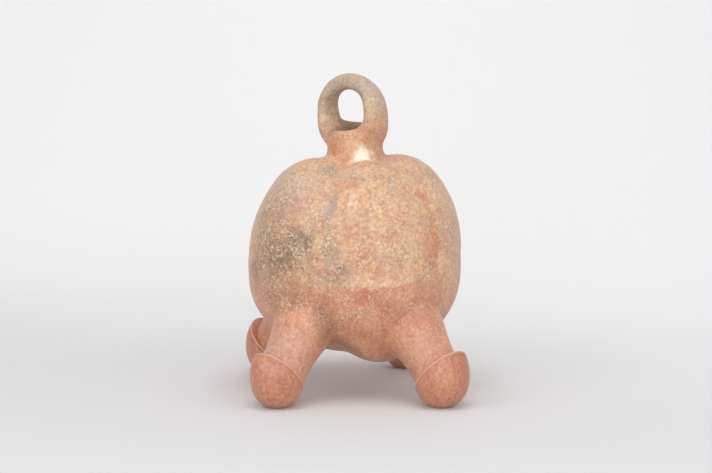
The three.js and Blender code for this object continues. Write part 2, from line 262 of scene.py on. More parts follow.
def add_node(
    tree: bpy.types.NodeTree,
    kind: str,
    inputs: dict | Sequence = (),
    out: str | int | None = 0,
    **settings: object,
) -> Socket | None:
    """Adds a node with its settings, and sets or links its inputs.

    Args:
        tree: The node tree.
        kind: Blender's name for the kind of node.
        inputs: A value, or the socket to link from, by the input's name or number, or for
            the first inputs in order. A map range has in order its value, from where to where
            it maps, and what it gives there.
        out: Which output is wanted, by its name or number, if one is.
        settings: The node's own settings, by name.

    Returns:
        The wanted output of the new node.
    """
    node = tree.nodes.new(kind)
    for name, value in settings.items():
        setattr(node, name, value)
    for key, value in inputs.items() if isinstance(inputs, dict) else enumerate(inputs):
        if isinstance(value, Socket):
            tree.links.new(value, node.inputs[key])
        else:
            node.inputs[key].default_value = value
    return None if out is None else node.outputs[out]


def new_material(name: str) -> tuple[bpy.types.Material, Adder]:
    """Makes an empty material, and returns it with the function that adds its nodes."""
    material = bpy.data.materials.new(name)
    material.use_nodes = True
    material.node_tree.nodes.clear()
    return material, partial(add_node, material.node_tree)


def apply_modifier(piece: Piece, kind: str, **settings: object) -> None:
    """Adds a modifier to a piece and applies it.

    Args:
        piece: The piece that is changed.
        kind: Blender's name for the kind of modifier.
        settings: The modifier's own settings, by name.
    """
    only(piece)
    bpy.ops.object.modifier_add(type=kind)
    modifier = piece.modifiers[-1]
    for name, value in settings.items():
        setattr(modifier, name, value)
    bpy.ops.object.modifier_apply(modifier=modifier.name)


def reshape(piece: Piece, centre: Vector, factor: Callable[[Vector], float]) -> None:
    """Moves each vertex of a piece towards a point or away from it.

    Args:
        piece: The piece.
        centre: The point, in millimetres.
        factor: Says of a vertex, in millimetres, how many times further from the point it goes.
    """
    groups: dict[int, list[int]] = {}
    for vert in piece.data.vertices:
        groups.setdefault(round(factor(vert.co / MM) * 1000), []).append(vert.index)
    with editing(piece):
        bpy.ops.mesh.select_mode(type="VERT")
        for thousandths, members in groups.items():
            bpy.ops.mesh.select_all(action="DESELECT")
            mesh = bmesh.from_edit_mesh(piece.data)
            mesh.verts.ensure_lookup_table()
            for index in members:
                mesh.verts[index].select_set(True)
            bmesh.update_edit_mesh(piece.data, loop_triangles=False, destructive=False)
            bpy.ops.transform.resize(
                value=(thousandths / 1000.0,) * 3, center_override=centre * MM
            )


@dataclass(frozen=True)
class Station:
    """Where one ring of a swept form lies.

    Attributes:
        centre: The ring's middle, in millimetres.
        turn: How far the ring is turned about the sweep's axis, in radians.
        size: The ring's size as a share of the first ring's.
        breadth: How much more the ring has of its depth along Y.
    """

    centre: Vector
    turn: float = 0.0
    size: float = 1.0
    breadth: float = 1.0


@dataclass(frozen=True)
class Sweep:
    """A form that is drawn out ring by ring, as a potter draws out a coil.

    Attributes:
        name: The new object's name.
        half_width: Half the first ring's size along X, in millimetres.
        half_depth: Half the first ring's size along Y, in millimetres.
        sides: How many edges a ring has.
        turn_axis: The letter of the axis that the rings turn about.
        stations: The rings in order.
        closed: Whether the last ring joins the first, and otherwise both ends are filled.
        squareness: The rings' superellipse power: 2 is round, and more is squarer.
    """

    name: str
    half_width: float
    half_depth: float
    sides: int
    turn_axis: str
    stations: Sequence[Station]
    closed: bool = False
    squareness: float = ROUND

    def build(self) -> Piece:
        """Draws the form out and returns it as a closed mesh."""
        first = self.stations[0]
        circle = bpy.ops.mesh.primitive_circle_add
        piece = begin(self.name, circle, vertices=self.sides, radius=MM)
        if self.squareness != ROUND:
            reshape(piece, Vector(), self.square)
        piece.scale = (self.half_width, self.half_depth, 1.0)
        settle(piece)
        axis = Vector([float(letter == self.turn_axis) for letter in "XYZ"])
        size = Matrix.Diagonal((first.size, first.size * first.breadth, first.size, 1.0))
        turned = Matrix.Translation(first.centre * MM) @ Matrix.Rotation(first.turn, 4, axis)
        settle(piece, turned @ size)
        with editing(piece):
            bpy.ops.mesh.select_mode(type="EDGE")
            bpy.ops.mesh.select_all(action="SELECT")
            last = first
            for station in self.stations[1:]:
                centre = station.centre * MM
                extrude((station.centre - last.centre) * MM)
                if station.turn != last.turn:
                    bpy.ops.transform.rotate(
                        value=BACKGROUND_TURN * (station.turn - last.turn),
                        orient_axis=self.turn_axis,
                        center_override=centre,
                    )
                if (station.size, station.breadth) != (last.size, last.breadth):
                    grow = station.size / last.size
                    deepen = grow * station.breadth / last.breadth
                    bpy.ops.transform.resize(value=(grow, deepen, grow), center_override=centre)
                last = station
            if self.closed:
                pick(piece, Part.EDGES, EVERYWHERE.holds, border=True)
                bpy.ops.mesh.bridge_edge_loops()
            else:
                bpy.ops.mesh.edge_face_add()
                pick(piece, Part.EDGES, EVERYWHERE.holds, border=True)
                bpy.ops.mesh.edge_face_add()
            face_outwards()
        return piece

    def square(self, point: Vector) -> float:
        """Returns how much further out a point of a round ring lies on the squarer one."""
        power = self.squareness
        return (abs(point.x) ** power + abs(point.y) ** power) ** (-1.0 / power)


@dataclass(frozen=True)
class Groove:
    """A groove between two lobes.

    Attributes:
        direction: Where it runs, in degrees from the front towards +X.
        depth: How deep it is, in millimetres.
    """

    direction: float
    depth: float


@dataclass(frozen=True)
class Bulge:
    """A place where the hand-built wall stands out, or in.

    Attributes:
        direction: Where it is, in degrees from the front towards +X.
        rise: Its angle above the widest level, in degrees.
        height: How far the wall stands out there, in millimetres.
        spread: How wide it is, in degrees.
    """

    direction: float
    rise: float
    height: float
    spread: float

    def lift(self, turn: float, rise: float) -> float:
        """Returns how far the wall stands out in a direction, both angles in radians."""
        own_rise = math.radians(self.rise)
        swing = turn - math.radians(self.direction)
        cosine = math.sin(rise) * math.sin(own_rise)
        cosine += math.cos(rise) * math.cos(own_rise) * math.cos(swing)
        angle = math.degrees(math.acos(max(-1.0, min(1.0, cosine))))
        return self.height * math.exp(-((angle / self.spread) ** 2))


@dataclass
class Body:
    """The hollow body of four soft lobes."""

    radius: float = 95.8
    upper_height: float = 98.0
    lower_height: float = 81.0
    clearance: float = 36.0
    upper_squareness: float = 2.65
    lower_squareness: float = 2.45
    grooves: tuple[Groove, ...] = (
        Groove(21.0, 9.0), Groove(88.0, 4.0), Groove(183.0, 8.0), Groove(279.0, 8.0)
    )
    bulges: tuple[Bulge, ...] = (
        Bulge(311.5, 36.0, -4.2, 19.0),
        Bulge(131.5, 60.0, 3.2, 14.0),
        Bulge(311.5, -22.0, 2.2, 20.0),
        Bulge(87.7, -57.2, 4.6, 24.8),
        Bulge(86.9, -61.5, 9.6, 18.4),
    )
    groove_half_width: float = 45.0
    groove_sharpness: float = 1.6
    groove_end: float = 75.0
    crown_depth: float = 9.0
    crown_radius: float = 50.0
    wall: float = 6.5
    seam: float = 105.0
    columns: int = 64
    rings: int = 32

    @property
    def centre(self) -> Vector:
        """The middle of the body's widest level."""
        return Vector((0.0, 0.0, self.clearance + self.lower_height))

    def sink(self, turn: float) -> float:
        """Returns how deep the grooves are at a direction in degrees from the front."""
        depth = 0.0
        for groove in self.grooves:
            swing = abs((turn - groove.direction + 180.0) % 360.0 - 180.0)
            if swing < self.groove_half_width:
                share = math.cos(math.pi / 2.0 * swing / self.groove_half_width) ** 2
                depth += groove.depth * share**self.groove_sharpness
        return depth

    def reach(self, rise: float, turn: float) -> float:
        """Measures from the body's middle to its surface.

        Args:
            rise: The direction's angle above the widest level, in radians.
            turn: The direction's angle from the front, in degrees.

        Returns:
            The distance in millimetres.
        """
        upper = rise >= 0.0
        height = self.upper_height if upper else self.lower_height
        power = self.upper_squareness if upper else self.lower_squareness
        across, along = math.cos(rise), abs(math.sin(rise))
        outline = ((across / self.radius) ** power + (along / height) ** power) ** (-1 / power)
        outline += sum(bulge.lift(math.radians(turn), rise) for bulge in self.bulges)
        if not upper:
            return outline - self.sink(turn) * smoothstep(outline * across, 5.0, self.groove_end)
        crown = 1.0 - smoothstep(outline * across, 0.0, self.crown_radius)
        return outline - self.sink(turn) * (1.0 - crown) - self.crown_depth * crown

    def build(self) -> Piece:
        """Shapes a ball into the lobed body and returns it."""
        piece = begin(
            "body_form",
            bpy.ops.mesh.primitive_uv_sphere_add,
            segments=self.columns,
            ring_count=self.rings,
            radius=self.radius * MM,
            location=self.centre * MM,
        )
        settle(piece)

        def factor(point: Vector) -> float:
            spoke = point - self.centre
            rise = math.atan2(spoke.z, math.hypot(spoke.x, spoke.y))
            return self.reach(rise, math.degrees(math.atan2(spoke.x, -spoke.y))) / self.radius

        reshape(piece, self.centre, factor)
        apply_modifier(piece, "SUBSURF", levels=2)
        return piece


@dataclass(frozen=True)
class Pull:
    """A place where soft clay is pulled along, with the clay round it following less.

    Attributes:
        centre: Where it is pulled, in millimetres.
        reach: How far away the clay still follows.
        move: How far and which way it goes.
    """

    centre: Vector
    reach: float
    move: Vector

    def apply(self, piece: Piece) -> None:
        """Pulls the clay of a piece."""
        with editing(piece):
            pick(piece, Part.VERTS, within(self.centre, HELD * self.reach))
            bpy.ops.transform.translate(
                value=self.move * MM,
                use_proportional_edit=True,
                proportional_edit_falloff="SMOOTH",
                proportional_size=self.reach * MM,
            )


@dataclass
class Neck:
    """The short neck, a tube with a round lip that rises towards the back."""

    bore_radius: float = 18.0
    wall: float = 6.0
    root: float = 196.0
    flare_root: float = 199.5
    rim: float = 238.5
    root_flare: float = 5.0
    rim_flare: float = 1.8
    mouth_flare: float = 1.5
    slope: float = 0.15
    base: float = 212.5
    sides: int = 96
    rows: int = 12
    lip_steps: int = 8
    pulls: tuple[Pull, ...] = (
        Pull(Vector((-20.5, 6.5, 240.0)), 14.0, Vector((3.5, 0.0, 8.5))),
        Pull(Vector((-17.5, -11.0, 235.5)), 13.0, Vector((0.5, 0.0, 3.0))),
        Pull(Vector((20.0, -8.0, 237.0)), 13.0, Vector((-1.5, 0.0, 5.0))),
        Pull(Vector((20.0, 9.0, 239.0)), 12.0, Vector((-1.0, 0.0, 3.0))),
    )

    def share(self, height: float) -> float:
        """Returns how far up the neck a height is: 0 at its root and 1 at its rim."""
        return min(1.0, max(0.0, (height - self.flare_root) / (self.rim - self.flare_root)))

    def radius(self, height: float) -> float:
        """Returns the outside radius at a height."""
        rise = self.share(height)
        flares = self.root_flare * (1.0 - rise) ** 3 + self.rim_flare * rise**3
        return self.bore_radius + self.wall + flares

    def bore(self, height: float) -> float:
        """Returns the inside radius at a height."""
        return self.bore_radius + self.mouth_flare * self.share(height) ** 3

    def build(self) -> Piece:
        """Draws the neck out, with its lip and its bore, and returns it."""
        lip = (self.radius(self.rim) - self.bore(self.rim)) / 2.0
        middle = self.bore(self.rim) + lip
        shoulder = self.rim - lip
        rise = shoulder - self.root
        heights = [self.root + rise * row / self.rows for row in range(self.rows + 1)]
        profile = [(self.radius(height), height) for height in heights]
        for step in range(1, self.lip_steps):
            angle = math.pi * step / self.lip_steps
            profile.append((middle + lip * math.cos(angle), shoulder + lip * math.sin(angle)))
        profile += [(self.bore(height), height) for height in reversed(heights)]
        first = profile[0][0]
        tilt = math.atan(self.slope)
        stations = []
        for radius, height in profile:
            turn = tilt * smoothstep(height, self.flare_root, self.rim)
            stations.append(Station(UP * height, turn, radius / first))
        piece = Sweep("neck_form", first, first, self.sides, "X", stations, closed=True).build()
        for pull in self.pulls:
            pull.apply(piece)
        return piece


@dataclass
class Loop:
    """The thick loop over the mouth."""

    centre: float = 253.5
    arm_span: float = 28.6
    arch_height: float = 24.3
    arm_length: float = 29.0
    turn_in: float = 11.0
    turn_in_power: float = 2.8
    lean: float = 6.6
    shift: float = 1.2
    unevenness: float = 0.09
    crown_thickening: float = 0.1
    thickness: float = 13.7
    root_spread: float = 2.0
    breadth: float = 26.0
    squareness: float = 2.35
    root_breadth: float = 0.12
    top_breadth: float = 0.35
    # From where to where below the arch's feet the arms broaden
    broadening: tuple[float, float] = (-6.0, 14.0)
    cut: float = 245.0
    sides: int = 40
    arch_steps: int = 36
    arm_steps: int = 10

    def top(self, point: Vector) -> float:
        """Returns how far up the arch a point is: 0 at its feet and 1 at its crown."""
        return smoothstep(point.z - self.centre, 0.0, self.arch_height)

    def path(self) -> list[Vector]:
        """Returns the middle line, from the root of one arm over the arch to the other's."""
        arms: list[list[Vector]] = [[], []]
        for arm, side in zip(arms, (1.0, -1.0)):
            for step in range(1, self.arm_steps + 1):
                share = step / self.arm_steps
                across = self.arm_span - self.turn_in * share**self.turn_in_power
                arm.append(Vector((side * across, 0.0, self.centre - self.arm_length * share)))
        arch = []
        for step in range(self.arch_steps + 1):
            angle = math.pi * step / self.arch_steps
            level = self.centre + self.arch_height * math.sin(angle)
            arch.append(Vector((self.arm_span * math.cos(angle), 0.0, level)))
        points = arms[0][::-1] + arch + arms[1]
        bottom = self.centre - self.arm_length
        height = self.arm_length + self.arch_height
        for point in points:
            lean = self.lean * (point.z - bottom) / height
            point.x -= lean + self.shift * (1.0 - self.top(point))
        return points

    def build(self) -> Piece:
        """Draws the loop out along its middle line and returns it."""
        points = self.path()
        stations = []
        last = 0.0
        for index, point in enumerate(points):
            along = points[min(index + 1, len(points) - 1)] - points[max(index - 1, 0)]
            turn = math.atan2(along.x, along.z)
            while turn - last > math.pi:
                turn -= 2.0 * math.pi
            while last - turn > math.pi:
                turn += 2.0 * math.pi
            last = turn
            depth = smoothstep(self.centre - point.z, 0.0, self.arm_length)
            top = self.top(point)
            breadth = 1.0 - top * self.top_breadth
            breadth += self.root_breadth * smoothstep(self.centre - point.z, *self.broadening)
            size = 1.0 + depth * self.root_spread / self.thickness
            side = max(-1.0, min(1.0, point.x / self.arm_span))
            size += (1.0 - depth) * self.unevenness * side
            size += self.crown_thickening * top
            stations.append(Station(point, turn, size, breadth))
        half, broad = self.thickness / 2.0, self.breadth / 2.0
        return Sweep(
            "loop_form", half, broad, self.sides, "Y", stations, squareness=self.squareness
        ).build()


class Direction(Enum):
    """Where each leg stands, in degrees from the front towards +X."""

    FRONT = 2.0
    RIGHT = 84.8
    BACK = 194.0
    LEFT = 272.0


@dataclass
class Leg:
    """One splayed shaft and its domed foot."""

    direction: Direction
    stance: float = 104.2
    shaft_stance: float = 103.6
    shaft_height: float = 23.9
    shaft_splay: float = 39.0
    shaft_radius: float = 21.3
    shaft_wall: float = 7.0
    root_flare: float = 5.0
    flare_start: float = 18.0
    flare_end: float = 36.0
    flare_power: float = 1.5
    shaft_start: float = -2.0
    shaft_end: float = 60.0
    shaft_rows: int = 16
    cut: float = 25.0
    foot_splay: float = 6.2
    foot_radius: float = 23.9
    foot_half_length: float = 30.6
    foot_squareness: float = 2.3
    rim_splay: float = 47.0
    rim_rise: float = -0.5
    # The lip stands a little proud on the outside, turns over and runs in to the socket. Each
    # step has its rise in millimetres, its size as a share of the last one's, and how far in
    # towards the body its fixed point is, as a share of the foot's radius.
    lip_steps: tuple[tuple[float, float, float], ...] = (
        (0.7, 1.0, 0.8), (0.8, 0.99, 0.8), (0.5, 0.965, 0.6), (0.2, 0.93, 0.3), (0.0, 0.88, 0.0)
    )
    socket_depth: float = 0.9
    socket_size: float = 0.8
    # How much of the foot's tip is missing, and the height and size of the worn part of the rest
    wear: float = 1.3
    worn: float = 0.7
    worn_size: float = 0.93
    sides: int = 64
    foot_grid: tuple[int, int] = (72, 40)

    @property
    def name(self) -> str:
        """The leg's name, as the frame's nodes have it."""
        return self.direction.name.lower()

    @property
    def foot_centre(self) -> float:
        """The height of the middle of the egg, so that its worn base is on the ground."""
        splay = math.radians(self.foot_splay)
        power = self.foot_squareness / (self.foot_squareness - 1.0)
        reach = (self.foot_half_length * math.cos(splay)) ** power
        reach += (self.foot_radius * math.sin(splay)) ** power
        return reach ** (1.0 / power) - self.wear

    def place(self, stance: float, height: float, splay: float) -> Matrix:
        """Returns the matrix that stands an upright form in the leg's place.

        Args:
            stance: How far its middle is from the vessel's axis, in millimetres.
            height: How high its middle is above the ground, in millimetres.
            splay: How far the form leans in towards the body, in degrees.
        """
        return (
            Matrix.Rotation(math.radians(self.direction.value), 4, "Z")
            @ Matrix.Translation((0.0, -stance * MM, height * MM))
            @ Matrix.Rotation(-math.radians(splay), 4, "X")
        )

    @property
    def shaft_place(self) -> Matrix:
        """The matrix that puts an upright shaft in its place."""
        return self.place(self.shaft_stance, self.shaft_height, self.shaft_splay)

    @property
    def rim_place(self) -> Matrix:
        """The matrix that lays a level form along the foot's rim."""
        return self.place(self.stance, self.foot_centre, self.rim_splay)

    def along(self, points: np.ndarray) -> tuple[np.ndarray, np.ndarray]:
        """Measures points against the shaft.

        Args:
            points: Rows of points in millimetres.

        Returns:
            Their distances along the shaft from the foot's middle, and from its axis.
        """
        inverse = np.array(self.shaft_place.inverted())
        local = points @ inverse[:3, :3].T + inverse[:3, 3] / MM
        return local[:, 2], np.hypot(local[:, 0], local[:, 1])

    def build_shaft(self) -> Piece:
        """Draws the shaft out from the foot into the body and returns it."""
        length = self.shaft_end - self.shaft_start
        radius = self.shaft_radius
        stations = []
        for row in range(self.shaft_rows + 1):
            height = self.shaft_start + length * row / self.shaft_rows
            flare = smoothstep(height, self.flare_start, self.flare_end) ** self.flare_power
            stations.append(Station(UP * height, 0.0, 1.0 + self.root_flare * flare / radius))
        piece = Sweep(
            f"shaft_form_{self.name}", radius, radius, self.sides, "Z", stations
        ).build()
        settle(piece, self.shaft_place)
        return piece

    def blunt(self, point: Vector) -> float:
        """Returns how much further out the lower half of the foot lies than on a ball."""
        if point.z >= 0.0:
            return 1.0
        power = self.foot_squareness
        return (math.hypot(point.x, point.y) ** power + abs(point.z) ** power) ** (-1.0 / power)

    def build_foot(self) -> Piece:
        """Cuts an egg square to the shaft, gives it a lip and a worn base, and returns it."""
        ball = bpy.ops.mesh.primitive_uv_sphere_add
        columns, rings = self.foot_grid
        piece = begin(f"{self.name}_foot", ball, segments=columns, ring_count=rings, radius=MM)
        reshape(piece, Vector(), self.blunt)
        piece.scale = (self.foot_radius, self.foot_radius, self.foot_half_length)
        settle(piece)
        settle(piece, self.place(self.stance, self.foot_centre, self.foot_splay))
        place = self.rim_place
        axis = (place.to_3x3() @ UP).normalized()
        rim = place @ (UP * (self.rim_rise * MM))
        with editing(piece):
            bpy.ops.mesh.select_all(action="SELECT")
            bpy.ops.mesh.bisect(plane_co=rim, plane_no=axis, clear_outer=True, use_fill=False)
            pick(piece, Part.EDGES, EVERYWHERE.holds, border=True)
            mesh = bmesh.from_edit_mesh(piece.data)
            ring = [v.co for v in mesh.verts if v.select]
            middle = sum(ring, Vector()) / len(ring)
            inwards = place.to_3x3() @ Vector((0.0, 1.0, 0.0)) * (self.foot_radius * MM)
            for rise, size, aside in self.lip_steps:
                extrude(axis * (rise * MM))
                middle = middle + axis * (rise * MM)
                bpy.ops.transform.resize(
                    value=(size,) * 3, center_override=middle + inwards * aside
                )
            extrude(axis * (-self.socket_depth * MM))
            bpy.ops.transform.resize(value=(self.socket_size,) * 3, center_override=middle)
            bpy.ops.mesh.edge_face_add()
            face_outwards()
        apply_modifier(piece, "SUBSURF", levels=1)
        with editing(piece):
            bpy.ops.mesh.select_all(action="SELECT")
            bpy.ops.mesh.bisect(
                plane_co=UP * (self.worn * MM), plane_no=UP, clear_inner=True, use_fill=True
            )
            pick(piece, Part.FACES, Zone(high=self.worn + AT_BASE).holds)
            extrude(UP * (-self.worn * MM))
            bpy.ops.transform.resize(value=(self.worn_size, self.worn_size, 1.0))
            face_outwards()
        return piece

    def measure_lip(self, piece: Piece) -> None:
        """Writes into a piece how far each of its points lies above the lip, in millimetres.

        Args:
            piece: The foot, or the shaft that stands in it.
        """
        inverse = np.array(self.rim_place.inverted())
        points = read(piece.data.vertices, "co", 3)
        levels = (points @ inverse[2, :3] + inverse[2, 3]) / MM - self.rim_rise
        attribute = piece.data.attributes.new(LIP_LEVEL, "FLOAT", "POINT")
        attribute.data.foreach_set("value", levels.astype(np.float32))


@dataclass
class Skin:
    """The joined outside of the vessel, and the pieces that it is cut into."""

    body: Body = field(default_factory=Body)
    neck: Neck = field(default_factory=Neck)
    loop: Loop = field(default_factory=Loop)
    legs: list[Leg] = field(
        default_factory=lambda: [
            Leg(Direction.FRONT),
            Leg(
                Direction.RIGHT,
                stance=107.6,
                shaft_stance=107.0,
                foot_radius=24.8,
                foot_half_length=31.5,
            ),
            Leg(Direction.BACK),
            Leg(Direction.LEFT, rim_splay=44.0, rim_rise=4.0),
        ]
    )
    voxel: float = 1.6
    # How the joins of the shafts are smoothed: from where to where along the shaft, how far from
    # its axis, and how many times
    shaft_joins: tuple[tuple[float, float, float, int], ...] = (
        (18, 50, 46, 30), (22, 46, 42, 60), (25, 42, 38, 90)
    )
    # Where the inner roots of the loop's arms are, how much rounder their hollow is along Y, and
    # how far around and how many times they are smoothed
    arm_across: float = 17.0
    arm_level: float = 242.0
    arm_roundness: float = 0.6
    arm_joins: tuple[tuple[float, int], ...] = ((15.0, 30), (12.0, 50), (9.0, 50))
    # The corners of the left arm's root that the potter's finger filled, and how far around
    corners: tuple[tuple[float, float, float, float], ...] = (
        (-18.0, -11.0, 238.0, 8.5),
        (-19.5, 7.0, 243.5, 11.5),
    )
    corner_repeat: int = 100
    # Where the neck, its root and then everything is smoothed, and how many times
    rings: tuple[tuple[Zone, int], ...] = (
        (Zone(low=203.0, outer=42.0), 6), (Zone(204.0, 216.0, 20.0, 36.0), 12), (EVERYWHERE, 4)
    )
    # How wide and how high the hand-built wall's unevenness is, in millimetres
    unevenness: tuple[tuple[float, float], ...] = ((42.0, 1.6), (11.0, 0.45))
    # How far a shaft's cut reaches beyond its plane and its radius
    shaft_margin: tuple[float, float] = (8.0, 14.0)
    # What the cuts of the loop, the neck and the bowls reach, and the neck's bore inside the body
    loop_zone: Zone = Zone(low=236.0)
    neck_zone: Zone = Zone(low=200.0, outer=32.0)
    bore_zone: Zone = Zone(low=190.0, outer=21.5)
    bowl_zone: Zone = Zone(low=90.0)

    def join(self) -> Piece:
        """Joins the soft forms into one skin, smooths their joins, and returns it."""
        forms = [self.body.build(), self.neck.build(), self.loop.build()]
        forms += [leg.build_shaft() for leg in self.legs]
        only(forms[0])
        for form in forms:
            form.select_set(True)
        bpy.ops.object.join()
        skin = bpy.context.object
        skin.name = "skin"
        apply_modifier(skin, "REMESH", mode="VOXEL", voxel_size=self.voxel * MM, adaptivity=0.0)
        log.info("skin: %d faces", len(skin.data.polygons))
        with editing(skin):
            for low, high, wide, repeat in self.shaft_joins:
                smooth(skin, lambda p: self.near_shafts(p, low, high, wide), repeat)
            for reach, repeat in self.arm_joins:
                smooth(skin, lambda p: self.arm_root(p) < reach, repeat)
            for *spot, reach in self.corners:
                smooth(skin, within(spot, reach), self.corner_repeat)
            for zone, repeat in self.rings:
                smooth(skin, zone.holds, repeat)
        for size, height in self.unevenness:
            texture = bpy.data.textures.new("hand_pressure", "CLOUDS")
            texture.noise_scale = size * MM
            texture.noise_depth = 1
            apply_modifier(
                skin,
                "DISPLACE",
                texture=texture,
                texture_coords="LOCAL",
                strength=height * MM,
                mid_level=0.5,
            )
        return skin

    def arm_root(self, points: np.ndarray) -> np.ndarray:
        """Returns each point's distance from the nearer inner root of the loop's arms."""
        across = np.abs(np.abs(points[:, 0]) - self.arm_across)
        along, rise = points[:, 1] * self.arm_roundness, points[:, 2] - self.arm_level
        return np.sqrt(across**2 + along**2 + rise**2)

    def near_shafts(self, points: np.ndarray, low: float, high: float, wide: float) -> np.ndarray:
        """Says which points lie where a shaft meets the body.

        Args:
            points: Rows of points in millimetres.
            low: Where the join starts along the shaft.
            high: Where it ends.
            wide: How far it reaches from the shaft's axis.

        Returns:
            True for each point that does.
        """
        found = np.zeros(len(points), bool)
        for leg in self.legs:
            rise, off_axis = leg.along(points)
            found |= (low < rise) & (rise < high) & (off_axis < wide)
        return found

    def take(self, skin: Piece, name: str, plane: tuple[Vector, Vector], near: Test) -> Piece:
        """Cuts the skin along a plane and takes off what lies beyond it.

        Args:
            skin: What is cut.
            name: The name of what is taken off.
            plane: A point of the plane in millimetres, and its normal towards what is taken.
            near: Says which points the cut reaches.

        Returns:
            The piece that is taken off.
        """
        point, normal = plane
        before = set(bpy.data.objects)
        with editing(skin):
            pick(skin, Part.FACES, near)
            bpy.ops.mesh.bisect(plane_co=point * MM, plane_no=normal)
            pick(
                skin,
                Part.FACES,
                lambda p: near(p) & ((p - np.array(point)) @ np.array(normal) > 0.0),
            )
            bpy.ops.mesh.separate(type="SELECTED")
        taken = (set(bpy.data.objects) - before).pop()
        taken.name = name
        taken.data.name = name
        return taken

    def cut(self, skin: Piece) -> dict[str, Piece]:
        """Cuts the skin into the frame's pieces.

        Args:
            skin: The joined skin, which becomes the lower bowl.

        Returns:
            The pieces by the names of the nodes that they stand for.
        """
        pieces: dict[str, Piece] = {}
        beyond, around = self.shaft_margin
        for leg in self.legs:
            place = leg.shaft_place
            out = -(place.to_3x3() @ UP)
            point = (place @ (UP * (leg.cut * MM))) / MM

            def near(points: np.ndarray, leg: Leg = leg) -> np.ndarray:
                rise, off_axis = leg.along(points)
                return (rise < leg.cut + beyond) & (off_axis < leg.shaft_radius + around)

            pieces[f"leg_shaft_{leg.name}"] = self.take(
                skin, f"{leg.name}_shaft", (point, out), near
            )
        for node, name, level, zone in (
            ("loop_handle", "loop", self.loop.cut, self.loop_zone),
            ("neck_collar", "neck", self.neck.base, self.neck_zone),
        ):
            pieces[node] = self.take(skin, name, (UP * level, UP), zone.holds)
        with editing(skin):
            pick(skin, Part.FACES, self.bore_zone.holds)
            bpy.ops.mesh.delete(type="FACE")
        pieces["body_shell_upper"] = self.take(
            skin, "upper_bowl", (UP * self.body.seam, UP), self.bowl_zone.holds
        )
        skin.name = "lower_bowl"
        pieces["body_shell_lower"] = skin
        return pieces

    def close(self, pieces: dict[str, Piece]) -> None:
        """Gives each piece of the skin its wall, so that it is a closed solid.

        Args:
            pieces: The pieces by the names of their nodes.
        """
        walls = {"body": self.body.wall, "leg": self.legs[0].shaft_wall}
        base = Zone(high=self.neck.base + AT_CUT)
        level = Zone(self.loop.cut - AT_CUT, self.loop.cut + AT_CUT)
        for name, piece in pieces.items():
            wall = walls.get(name.split("_")[0])
            if wall:
                apply_modifier(piece, "SOLIDIFY", thickness=wall * MM, offset=-1.0, use_rim=True)
            with editing(piece):
                if name in ("neck_collar", "loop_handle"):
                    for side in (1.0, -1.0):
                        pick(
                            piece,
                            Part.EDGES,
                            lambda p: level.holds(p) & (p[:, 0] * side > 0.0),
                            border=True,
                        )
                        bpy.ops.mesh.edge_face_add()
                if name == "neck_collar":
                    pick(piece, Part.EDGES, base.holds, border=True)
                    bpy.ops.mesh.bridge_edge_loops()
            only(piece)
            bpy.ops.object.shade_smooth_by_angle(angle=CRISP)


# The noises that break the finish up: the size in millimetres, detail, roughness and distortion
NOISES = {
    "slip": (26.0, 4.0, 0.6, 0.0),
    "crust": (12.0, 7.0, 0.74, 0.0),
    "ash": (34.0, 5.0, 0.7, 0.0),
    # The real marks are about 0.4 mm wide, and are drawn twice as wide so that they show.
    "marks": (3.4, 2.0, 0.5, 1.2),
    "mark_drifts": (10.0, 4.0, 0.5, 0.0),
    "dots": (1.9, 1.0, 0.5, 0.0),
    "dot_drifts": (14.0, 3.0, 0.5, 0.0),
    "grain": (3.0, 4.0, 0.78, 0.0),
    # Fine pits and grains, about 1 mm across
    "relief": (2.2, 4.0, 0.6, 0.0),
}
# The pits and the marks: the level of their noise, how far from it their line is full and where
# it ends, and its strength
PIT_LINE = (0.41, 0.03, 0.08, 0.5)
MARK_LINE = (0.5, 0.014, 0.05, 0.9)
# The crust's sharp edge: its levels, and behind which depth and how fast it climbs
EDGE = (104.6, 106.2)
EDGE_DEPTH = -58.0
EDGE_CLIMB = 0.0025
# The thicker band above the edge: between which levels it thins out, and how thick it begins
BAND = (107.0, 114.0, 0.45)
# Over what share of its softness a patch fades outside its size
FADE = 0.3
# How the places of patches are made ragged: the size of the unevenness, and its reach
WARPS = ((24.0, 15.0), (6.0, 5.0))


@dataclass(frozen=True)
class Patch:
    """A cloud of another colour in the slip, or a thin place in the crust.

    Attributes:
        centre: Its middle, in millimetres.
        size: Its half sizes, in millimetres.
        colour: Its sRGB hex colour.
        strength: How much of its colour shows in its middle.
        softness: Over what share of its size it fades out.
        turn: How far it is turned about Z and then leant about its own Y, in degrees.
        marks: How many root marks lie over it.
    """

    centre: tuple[float, float, float]
    size: tuple[float, float, float]
    colour: str
    strength: float = 0.6
    softness: float = 0.7
    turn: tuple[float, float] = (0.0, 0.0)
    marks: float = 0.0


def warp(add: Adder, place: Socket, size: float, reach: float) -> Socket:
    """Makes a place ragged, so that what is drawn on it has uneven edges.

    Args:
        add: Adds a node.
        place: The place in millimetres.
        size: The size of the unevenness in millimetres.
        reach: How far it moves an edge, in millimetres.

    Returns:
        The ragged place.
    """
    uneven = {"Vector": place, "Scale": 1 / size, "Detail": 2.0}
    noise = add("ShaderNodeTexNoise", uneven, "Color")
    centred = add("ShaderNodeVectorMath", (noise, (0.5,) * 3), operation="SUBTRACT")
    moved = (centred, (2 * reach,) * 3, place)
    return add("ShaderNodeVectorMath", moved, operation="MULTIPLY_ADD")


def cover(add: Adder, colour: object, over: object, mask: Socket) -> Socket:
    """Lays a colour over another where a mask says, and returns the result."""
    kept = add("ShaderNodeMath", (mask, 0.0), operation="ADD", use_clamp=True)
    return add("ShaderNodeMix", {"Factor": kept, 6: colour, 7: over}, 2, data_type="RGBA")


